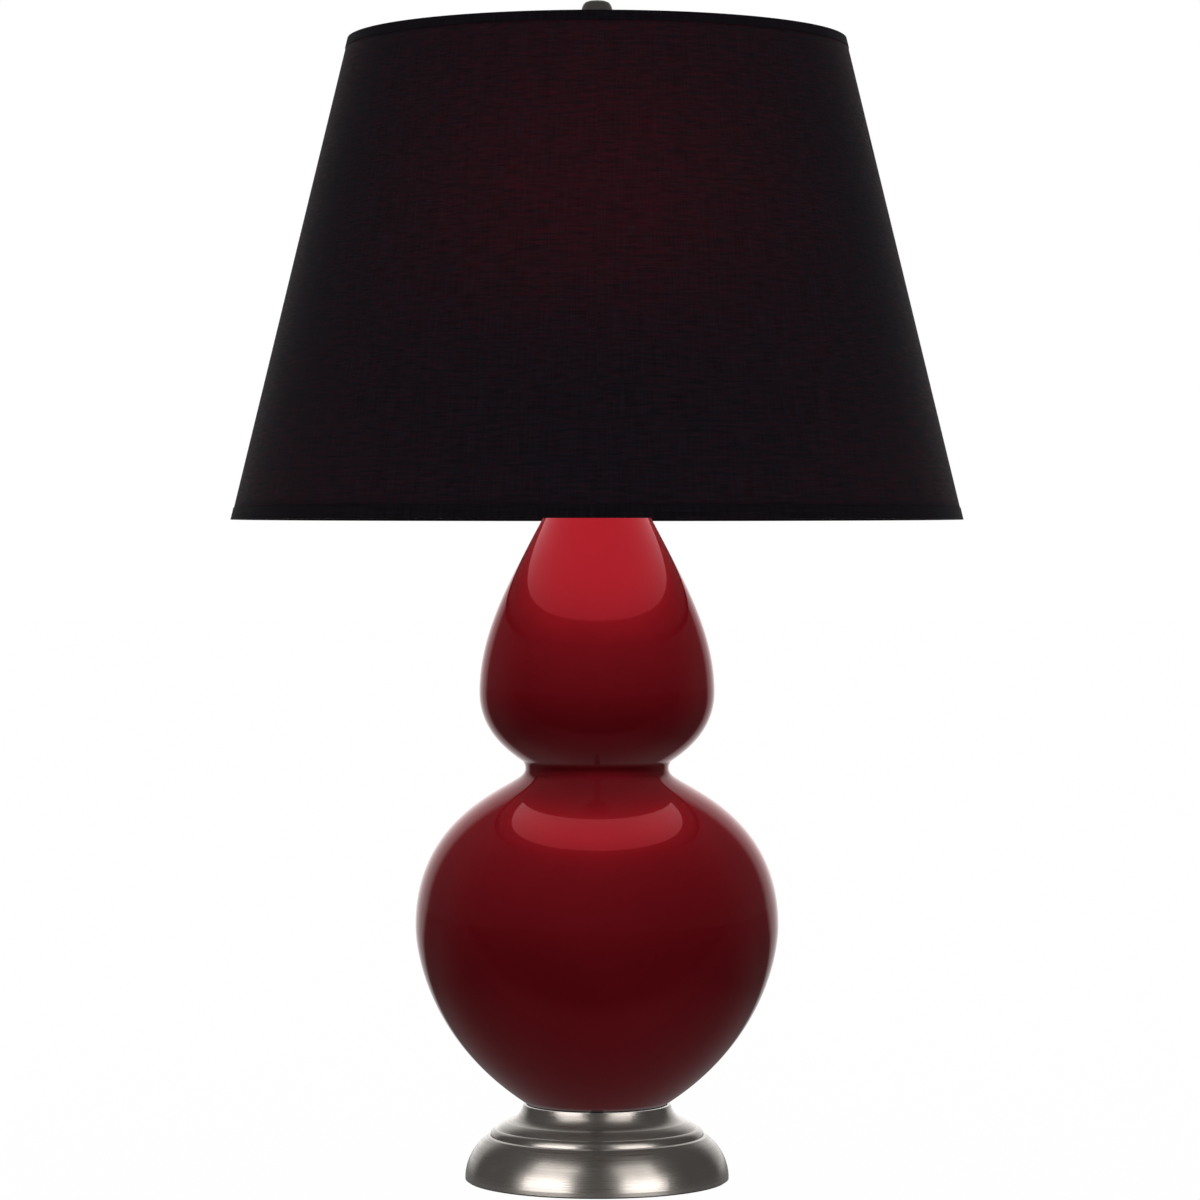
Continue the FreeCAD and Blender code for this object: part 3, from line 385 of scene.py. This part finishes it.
def shade_cloth():
    """Black slubbed cotton with dark red threads among the weft, close woven."""
    f = Finish("shade_cotton")
    where = unrolled(f)
    weft = f.noise(1.0, 2.0, 0.55, (90, 1000, 1), where=where)
    slub = f.noise(1.0, 3.0, 0.6, (48, 420, 1), where=where)
    warp = f.noise(1.0, 2.0, 0.55, (1500, 40, 1), where=where)
    tall = f.noise(1.0, 3.0, 0.6, (420, 9, 1), where=where)
    weave = f.maths("ADD", f.maths("MULTIPLY", weft, 0.6), f.maths("MULTIPLY", warp, 0.4))
    red = f.spread(slub, 0.0, 1.0, 0.50, 0.70)
    base = f.ramp(weave, [(0.35, (0.0058, 0.0060, 0.0100)), (0.65, (0.0205, 0.0205, 0.0325))])
    threads = f.mix(f.maths("MULTIPLY", red, 0.40), base, (0.026, 0.0100, 0.0200))
    f.principled(IOR=1.4, Specular_IOR_Level=0.2, Sheen_Weight=0.03, Sheen_Roughness=0.45)
    f.drive("Base Color", f.mix(f.spread(tall, 0.0, 0.25), threads, (0.0062, 0.0076, 0.0135)))
    f.drive("Roughness", f.spread(weft, 0.62, 0.85))
    normal = f.bump(weave, 0.00022, 0.6, after=f.bump(slub, 0.0003, 0.4))
    f.drive("Normal", normal)

    # lamplight that finds its way between the threads, scattered forward and stained by them
    sifted = f.add("ShaderNodeBsdfRefraction")
    sifted.inputs["Roughness"].default_value = 0.90
    sifted.inputs["IOR"].default_value = 2.4
    f.link(f.mix(f.spread(slub, 0.0, 1.0), (0.32, 0.004, 0.014), (1.0, 0.012, 0.045)),
           sifted.inputs["Color"])
    f.link(normal, sifted.inputs["Normal"])
    front = f.blend(SIFTED_SHARE, f.shader, sifted)

    # the inner face lets light on to the outer one
    side = f.add("ShaderNodeNewGeometry")
    f.surface(f.blend(side.outputs["Backfacing"], front, f.add("ShaderNodeBsdfTransparent")))
    return f.material


def shade_tape():
    """The black cotton tape that binds the shade's edges, ribbed along its length."""
    f = Finish("binding_tape")
    where = unrolled(f)
    ribs = f.noise(1.0, 2.0, 0.5, (900, 60, 1), where=where)
    weft = f.noise(1.0, 2.0, 0.5, (30, 1500, 1), where=where)
    weave = f.maths("ADD", f.maths("MULTIPLY", ribs, 0.5), f.maths("MULTIPLY", weft, 0.5))
    f.principled(IOR=1.4, Specular_IOR_Level=0.2, Sheen_Weight=0.02, Sheen_Roughness=0.5)
    f.drive("Base Color", f.ramp(weave, [(0.35, (0.0062, 0.0042, 0.0074)),
                                         (0.65, (0.0200, 0.0135, 0.0225))]))
    f.drive("Roughness", f.spread(ribs, 0.68, 0.86))
    f.drive("Normal", f.bump(weave, 0.00022, 0.6))
    return f.material


def backing():
    """The shade's stiff lining film, a soft white with faint mottling."""
    f = Finish("lining_film")
    f.principled(IOR=1.45)
    cloud = f.noise(70.0, 4.0, 0.6)
    fibre = f.noise(700.0, 3.0, 0.6)
    f.drive("Base Color", f.mix(f.spread(cloud, 0.0, 1.0), (0.72, 0.71, 0.68), (0.80, 0.79, 0.76)))
    f.drive("Roughness", f.spread(fibre, 0.5, 0.64))
    f.drive("Normal", f.bump(fibre, 0.0001, 0.4))
    f.surface(f.blend(f.spread(cloud, 0.34, 0.40), f.shader, f.add("ShaderNodeBsdfTransparent")))
    return f.material


finishes = {
    "glaze": glaze(),
    "pewter": pewter("antique_silver"),
    "felt": felt(),
    "cast_iron": plain_metal("cast_iron_rough", (0.12, 0.115, 0.11), 0.62, 140.0, 0.7),
    "zinc_steel": plain_metal("zinc_plate", (0.55, 0.56, 0.57), 0.33, 120.0, 0.8),
    "brass": plain_metal("brass_bare", (0.66, 0.47, 0.20), 0.30, 150.0, 0.75),
    "solder": plain_metal("solder_blob", (0.52, 0.52, 0.52), 0.42, 200.0, 0.75),
    "cap_metal": plain_metal("cap_aluminium", (0.62, 0.62, 0.60), 0.34, 160.0, 0.85),
    "filament_metal": plain_metal("tungsten", (0.28, 0.28, 0.29), 0.45, 300.0, 0.8),
    "coated_wire": moulded("powder_coat_white", (0.70, 0.70, 0.68), 0.42, 500.0, 0.00004, 1.08),
    "rubber": moulded("black_rubber", (0.016, 0.016, 0.016), 0.62),
    "phenolic": moulded("phenolic_black", (0.02, 0.017, 0.015), 0.38),
    "liner_paper": moulded("pressed_card", (0.22, 0.15, 0.085), 0.8, 500.0, 0.0001, 1.25),
    "frosted_glass": glass("frosted_bulb_glass", 0.55, (0.86, 0.86, 0.85), (0.93, 0.93, 0.92),
                           0.42, 0.55),
    "clear_glass": glass("clear_stem_glass", 1.0, (0.93, 0.95, 0.95), (0.97, 0.98, 0.98),
                         0.03, 0.08),
    "shade_cloth": shade_cloth(),
    "shade_tape": shade_tape(),
    "backing_film": backing(),
}
small_metal = pewter("antique_silver_small", lines=False)
BENT_METAL = "harp_wire", "harp_saddle", "shade_spider"

for node_name, node in nodes.items():
    for material_slot in node.material_slots:
        material_slot.material = (small_metal if node_name in BENT_METAL
                                  else finishes[material_slot.material.name.split(".")[0]])


# ---- gourd ----

# the gourd's side, above its own foot; the waist is a small round about a centre outside it
FOOT_RADIUS = 47.2
BELLY_RADIUS, BELLY_LEVEL = 121.3, 119.3
WAIST_CENTRE, WAIST_LEVEL, WAIST_ROUND = 53.9, 223.6, 5.9
CROWN_RADIUS, CROWN_LEVEL = 78.75, 274.5
NECK_RADIUS, NECK_LEVEL = 17.9, 428.7
# how far the side leans from upright at the foot, under the waist, over it and at the neck
FOOT_LEAN, LOW_LEAN, HIGH_LEAN, NECK_LEAN = (radians(a) for a in (57.0, 42.0, 56.0, 21.2))
# how far the curves' handles reach at their two ends
FOOT_HANDLES, BELLY_HANDLES = (77.4, 18.7), (73.4, 11.9)
SHOULDER_HANDLES, NECK_HANDLES = (16.6, 22.7), (55.9, 54.75)
GOURD_WALL, ROD_HOLE, GOURD_STANDS = 6.5, 6.5, 51.3
GOURD_SEGMENTS = 256


def gourd_outline(inset, count):
    """The gourd's side from foot to neck, in heights above its own foot."""

    def handles(lengths, lean):
        """A side set further in has shorter handles, by the turn that the curve makes."""
        return [length - 4 / 3 * tan(lean / 4) * inset for length in lengths]

    reach = WAIST_ROUND + inset
    foot = (FOOT_RADIUS - inset * cos(FOOT_LEAN), inset * sin(FOOT_LEAN))
    belly = (BELLY_RADIUS - inset, BELLY_LEVEL)
    below = (WAIST_CENTRE - reach * cos(LOW_LEAN), WAIST_LEVEL - reach * sin(LOW_LEAN))
    above = (WAIST_CENTRE - reach * cos(HIGH_LEAN), WAIST_LEVEL + reach * sin(HIGH_LEAN))
    crown = (CROWN_RADIUS - inset, CROWN_LEVEL)
    neck = (NECK_RADIUS - inset * cos(NECK_LEAN), NECK_LEVEL - inset * sin(NECK_LEAN))
    a, b = handles(FOOT_HANDLES, FOOT_LEAN)
    c, d = handles(BELLY_HANDLES, LOW_LEAN)
    e, g = handles(SHOULDER_HANDLES, HIGH_LEAN)
    h, k = handles(NECK_HANDLES, NECK_LEAN)
    points = [foot]
    points += curve_run(foot, (foot[0] + a * sin(FOOT_LEAN), foot[1] + a * cos(FOOT_LEAN)),
                        (belly[0], BELLY_LEVEL - b), belly, count)
    points += curve_run(belly, (belly[0], BELLY_LEVEL + c),
                        (below[0] + d * sin(LOW_LEAN), below[1] - d * cos(LOW_LEAN)), below, count)
    points += arc_run(below, above, reach * (cos((LOW_LEAN + HIGH_LEAN) / 2) - 1), count // 3)
    points += curve_run(above, (above[0] + e * sin(HIGH_LEAN), above[1] + e * cos(HIGH_LEAN)),
                        (crown[0], CROWN_LEVEL - g), crown, count)
    points += curve_run(crown, (crown[0], CROWN_LEVEL + h),
                        (neck[0] + k * sin(NECK_LEAN), neck[1] - k * cos(NECK_LEAN)), neck, count)
    return points


outside, inside = gourd_outline(0.0, 48), gourd_outline(GOURD_WALL, 24)
gourd = lathe("gourd_glazed", outside + [(inside[-1][0], NECK_LEVEL)] + inside[::-1]
              + [(ROD_HOLE, inside[0][1]), (ROD_HOLE, 0.0)], GOURD_STANDS, GOURD_SEGMENTS)
gourd.data.materials.append(finishes["glaze"])
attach(gourd, "root")
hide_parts("gourd_body")

# gourd and base are left out of each other's gloss
gourd.visible_glossy = False
for name in ("base_shell", "base_felt", "base_weight", "base_gasket", "rod_nut", "rod_washer",
             "cord_bushing"):
    nodes[name].visible_glossy = False


# ---- shade ----

SHADE_LOW_RADIUS, SHADE_TOP_RADIUS, SHADE_HEIGHT = 244.0, 166.5, 320.3
SLOPE = (SHADE_LOW_RADIUS - SHADE_TOP_RADIUS) / SHADE_HEIGHT
SHADE_FOOT = 440.5
SHADE_SEGMENTS = 720
# depths behind the outer face: the tape's thickness, the cloth's two faces, the folded tape's end
TAPE, CLOTH_FACE, CLOTH_BACK, TURN_IN = 0.3, 0.4, 0.9, 5.3
HEM_WIDTH, BAND_FOOT, TAPE_ROUND = 8.0, 313.8, 0.14
# the lap, at the back: where it lies, how wide and thick it is, and how soft its edge is
SEAM_AZIMUTH, SEAM_EDGE = radians(90.0), 0.6
CLOTH_LAP, CLOTH_LAP_WIDTH = 0.35, 12.5
TAPE_LAP, TAPE_LAP_WIDTH = 0.3, 9.0


def wall(depth, level):
    """A place in the shade's wall: how deep behind its outer face, and at what level."""
    return SHADE_LOW_RADIUS - SLOPE * level - depth, level


def wrapped(piece, step, width, reach):
    """Lift the outer face, down to a depth, where the cloth laps over itself, with a soft edge."""
    for vertex in piece.data.vertices:
        x, y, z = vertex.co
        radius = sqrt(x * x + y * y)
        along = (atan2(y, x) - SEAM_AZIMUTH) * radius / MM
        lap = min(1.0, max(0.0, (width / 2 - abs(along)) / SEAM_EDGE + 0.5))
        depth = wall(0.0, z / MM - SHADE_FOOT)[0] - radius / MM
        if depth < reach:
            grown = (radius + step * lap * MM) / radius
            vertex.co.x, vertex.co.y = x * grown, y * grown


low, high = CLOTH_FACE, SHADE_HEIGHT - CLOTH_FACE
levels = [low + (high - low) * i / 24 for i in range(25)]
cloth = lathe("shade_cloth_wall", [wall(CLOTH_FACE, v) for v in levels]
              + [wall(CLOTH_BACK, v) for v in levels[::-1]], SHADE_FOOT, SHADE_SEGMENTS)
wrapped(cloth, CLOTH_LAP, CLOTH_LAP_WIDTH, CLOTH_FACE + 0.1)
cloth.data.materials.append(finishes["shade_cloth"])

hem = lathe("shade_hem_tape", rounded([
    wall(0.0, HEM_WIDTH), wall(0.0, 0.0), wall(TURN_IN, 0.0), wall(TURN_IN, HEM_WIDTH),
    wall(TURN_IN - TAPE, HEM_WIDTH), wall(TURN_IN - TAPE, TAPE), wall(TAPE, TAPE),
    wall(TAPE, HEM_WIDTH)], TAPE_ROUND), SHADE_FOOT, SHADE_SEGMENTS)
band = lathe("shade_band_tape", rounded([
    wall(0.0, BAND_FOOT), wall(TAPE, BAND_FOOT), wall(TAPE, SHADE_HEIGHT - TAPE),
    wall(TURN_IN, SHADE_HEIGHT - TAPE), wall(TURN_IN, SHADE_HEIGHT),
    wall(0.0, SHADE_HEIGHT)], TAPE_ROUND), SHADE_FOOT, SHADE_SEGMENTS)
for tape, node in ((hem, "shade_hem"), (band, "shade_band")):
    wrapped(tape, TAPE_LAP, TAPE_LAP_WIDTH, TAPE)
    tape.data.materials.append(finishes["shade_tape"])
    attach(tape, "shade")
    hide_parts(node)
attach(cloth, "shade")
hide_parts("shade_fabric")


# ---- floor and world ----

# in gloss the floor is dark up to the paper's edge, and brighter in a strip under the lamp
PAPER_EDGE, PAPER_LEVELS = (-0.23, -0.18), (0.03, 0.20)
STRIP_EDGE, STRIP_LEVELS = (0.10, 0.35), (1.0, 0.35)
FLOOR_TONE, FLOOR_SPAN = 0.80, 40.0
FLOOR_WHITE, FLOOR_WHITE_SHARE = 1.05, 0.93
# what gloss and glass see, from straight ahead of the lamp (0) to straight behind it (1)
FAR_WALL = [(0.0, 0.10), (0.45, 0.10), (0.62, 0.14), (0.70, 0.14), (0.77, 0.115), (0.82, 0.10),
            (0.853, 0.10), (0.864, 0.26), (0.893, 0.60), (0.914, 0.66), (0.935, 0.84),
            (0.957, 1.0), (0.978, 1.30), (1.0, 1.65)]
FRONT_WALL = FAR_WALL[0][1]
LAMP_MIDDLE = 0.30
WORLD_SOFT_LIGHT = 0.36


def far_wall(graph, direction, floor_level=0.0):
    """The far wall's brightness towards a direction, less a level that counts as dark."""
    backwards = graph.spread(graph.split(direction)["Y"], 0.0, 1.0, -1.0, 1.0)
    return graph.ramp(backwards, [(place, (level - floor_level,) * 3) for place, level in FAR_WALL])


def gloss_or_glass(graph, path):
    return graph.maths("MAXIMUM", path.outputs["Is Glossy Ray"],
                       path.outputs["Is Transmission Ray"])


def floor_paper():
    """White to the camera, a dim studio to gloss, and matt paper with shadows to the rest."""
    f = Finish("floor_paper")
    split = f.split(f.place)
    matt = f.add("ShaderNodeBsdfDiffuse")
    paper = (FLOOR_TONE,) * 3
    f.link(f.mix(f.spread(f.noise(3.0, 2.0, 0.5), 0.0, 1.0), paper, toned(paper, 1.02)),
           matt.inputs["Color"])

    near = f.maths("MULTIPLY", f.spread(split["Y"], *PAPER_LEVELS, *PAPER_EDGE),
                   f.spread(f.maths("ABSOLUTE", split["X"]), *STRIP_LEVELS, *STRIP_EDGE))
    apart = f.add("ShaderNodeVectorMath", operation="SUBTRACT")
    f.link(f.place, apart.inputs[0])
    apart.inputs[1].default_value = (0.0, 0.0, LAMP_MIDDLE)
    towards = f.add("ShaderNodeVectorMath", operation="NORMALIZE")
    f.link(apart.outputs[0], towards.inputs[0])
    mirrored_level = f.maths("ADD", near, far_wall(f, towards.outputs[0], FRONT_WALL))

    path = f.add("ShaderNodeLightPath")
    seen, mirrored = path.outputs["Is Camera Ray"], gloss_or_glass(f, path)
    white = f.add("ShaderNodeEmission")
    f.link(f.maths("ADD", f.maths("MULTIPLY", seen, FLOOR_WHITE),
                   f.maths("MULTIPLY", mirrored, mirrored_level)), white.inputs["Strength"])
    f.surface(f.blend(f.maths("ADD", f.maths("MULTIPLY", seen, FLOOR_WHITE_SHARE), mirrored),
                      matt, white))
    return f.material


bm = bmesh.new()
bm.faces.new([bm.verts.new((x * FLOOR_SPAN / 2, y * FLOOR_SPAN / 2, 0))
              for x, y in ((-1, -1), (1, -1), (1, 1), (-1, 1))])
floor = placed("floor", bm)
floor.data.materials.append(floor_paper())

world = bpy.data.worlds.new("studio")
bpy.context.scene.world = world
world.use_nodes = True
around = Graph(world.node_tree)
path = around.add("ShaderNodeLightPath")
direction = around.add("ShaderNodeTexCoord").outputs["Generated"]
lighting = around.mix(gloss_or_glass(around, path), (WORLD_SOFT_LIGHT,) * 3,
                      far_wall(around, direction))
background = around.add("ShaderNodeBackground")
around.link(around.mix(path.outputs["Is Camera Ray"], lighting, (1, 1, 1)),
            background.inputs["Color"])
around.link(background.outputs[0], around.add("ShaderNodeOutputWorld").inputs["Surface"])


# ---- lights ----

def softbox(name, place, target, size, radiance, colour=(1, 1, 1), shape="RECTANGLE"):
    """A plain area light of a given radiance."""
    light = bpy.data.lights.new(name, "AREA")
    light.shape = shape
    light.size, light.size_y = size
    light.color = colour
    light.energy = radiance * pi * size[0] * size[1] * (pi / 4 if shape == "DISK" else 1)
    lamp = bpy.data.objects.new(name, light)
    lamp.location = place
    lamp.rotation_euler = (Vector(target) - Vector(place)).to_track_quat("-Z", "Y").to_euler()
    bpy.context.scene.collection.objects.link(lamp)
    return lamp


def keep_to(lamp, lit, blocking):
    """The lamp lights only these pieces, and only those cast its shadows."""
    for role, members in (("receiver", lit), ("blocker", blocking)):
        group = bpy.data.collections.new(f"{lamp.name}_{role}s")
        for member in members:
            group.objects.link(member)
        setattr(lamp.light_linking, role + "_collection", group)


def carried(*names):
    return [nodes[name] for name in names]


shade_skin = [cloth, hem, band]
base_parts = carried("base_shell", "base_felt")
fittings = carried(
    "neck_cap", "neck_spacer", "socket_cap", "socket_shell", "socket_liner", "socket_core",
    "terminal_screws", "screw_shell", "harp_saddle", "switch_spindle", "switch_knob",
    "bulb_contact", "bulb_insulator", "bulb_base", "bulb_envelope", "bulb_stem", "bulb_filament",
    "harp_wire", "ferrule_left", "ferrule_right", "harp_stud", "shade_spider")

# the shade's open underside, as it glows on the gourd
shade_light = softbox("shade_light", (0, 0, 0.508), (0, 0, 0), (0.466, 0.466), 1.58,
                      (1.0, 0.60, 0.65), "DISK")
shade_light.visible_camera = False
keep_to(shade_light, [gourd], [gourd])

# soft keys in front of the gourd and behind it, kept out of its gloss
for name, side, radiance in (("front_key", -1, 28.0), ("rear_key", 1, 18.0)):
    key = softbox(name, (0, side * 1.5, 1.75), (0, 0, 0.25), (0.6, 0.6), radiance)
    key.visible_glossy = False
    keep_to(key, [gourd], [gourd])

bulb_light = bpy.data.lights.new("bulb_light", "POINT")
bulb_light.energy = 0.70
bulb_light.color = (1.0, 0.86, 0.72)
bulb_light.shadow_soft_size = 0.032
bulb_lamp = bpy.data.objects.new("bulb_light", bulb_light)
bulb_lamp.location = (0, 0, 0.655)
bulb_lamp.visible_camera = False
bpy.context.scene.collection.objects.link(bulb_lamp)
keep_to(bulb_lamp, shade_skin, shade_skin + carried("shade_backing", "shade_ring_bottom"))

# two softboxes at each side in front, for the metal
LOW_BOX, HIGH_BOX = 3.6, 1.5
for name, place, target, size, radiance in (
        ("left_low_box", (-0.92, -0.92, 0.10), (0, 0, 0.10), (1.10, 0.9), LOW_BOX),
        ("left_high_box", (-0.92, -0.92, 1.05), (0, 0, 0.03), (1.10, 1.0), HIGH_BOX),
        ("right_low_box", (0.85, -1.0, 0.10), (0, 0, 0.10), (0.95, 0.9), LOW_BOX),
        ("right_high_box", (0.85, -1.0, 1.05), (0, 0, 0.03), (0.95, 1.0), HIGH_BOX)):
    keep_to(softbox(name, place, target, size, radiance), base_parts + fittings,
            base_parts + fittings + [cloth, nodes["shade_backing"]])


# ---- camera ----

camera_data = bpy.data.cameras.new("camera")
camera_data.lens = 128.9
camera_data.sensor_width = 36.0
camera_data.shift_x = 0.0025
camera_data.shift_y = -0.0512
camera = bpy.data.objects.new("camera", camera_data)
camera.location = (0, -2.870, 0.4279)
camera.rotation_euler = (radians(90), 0, 0)
bpy.context.scene.collection.objects.link(camera)
bpy.context.scene.camera = camera
bpy.context.scene.view_settings.view_transform = "Standard"
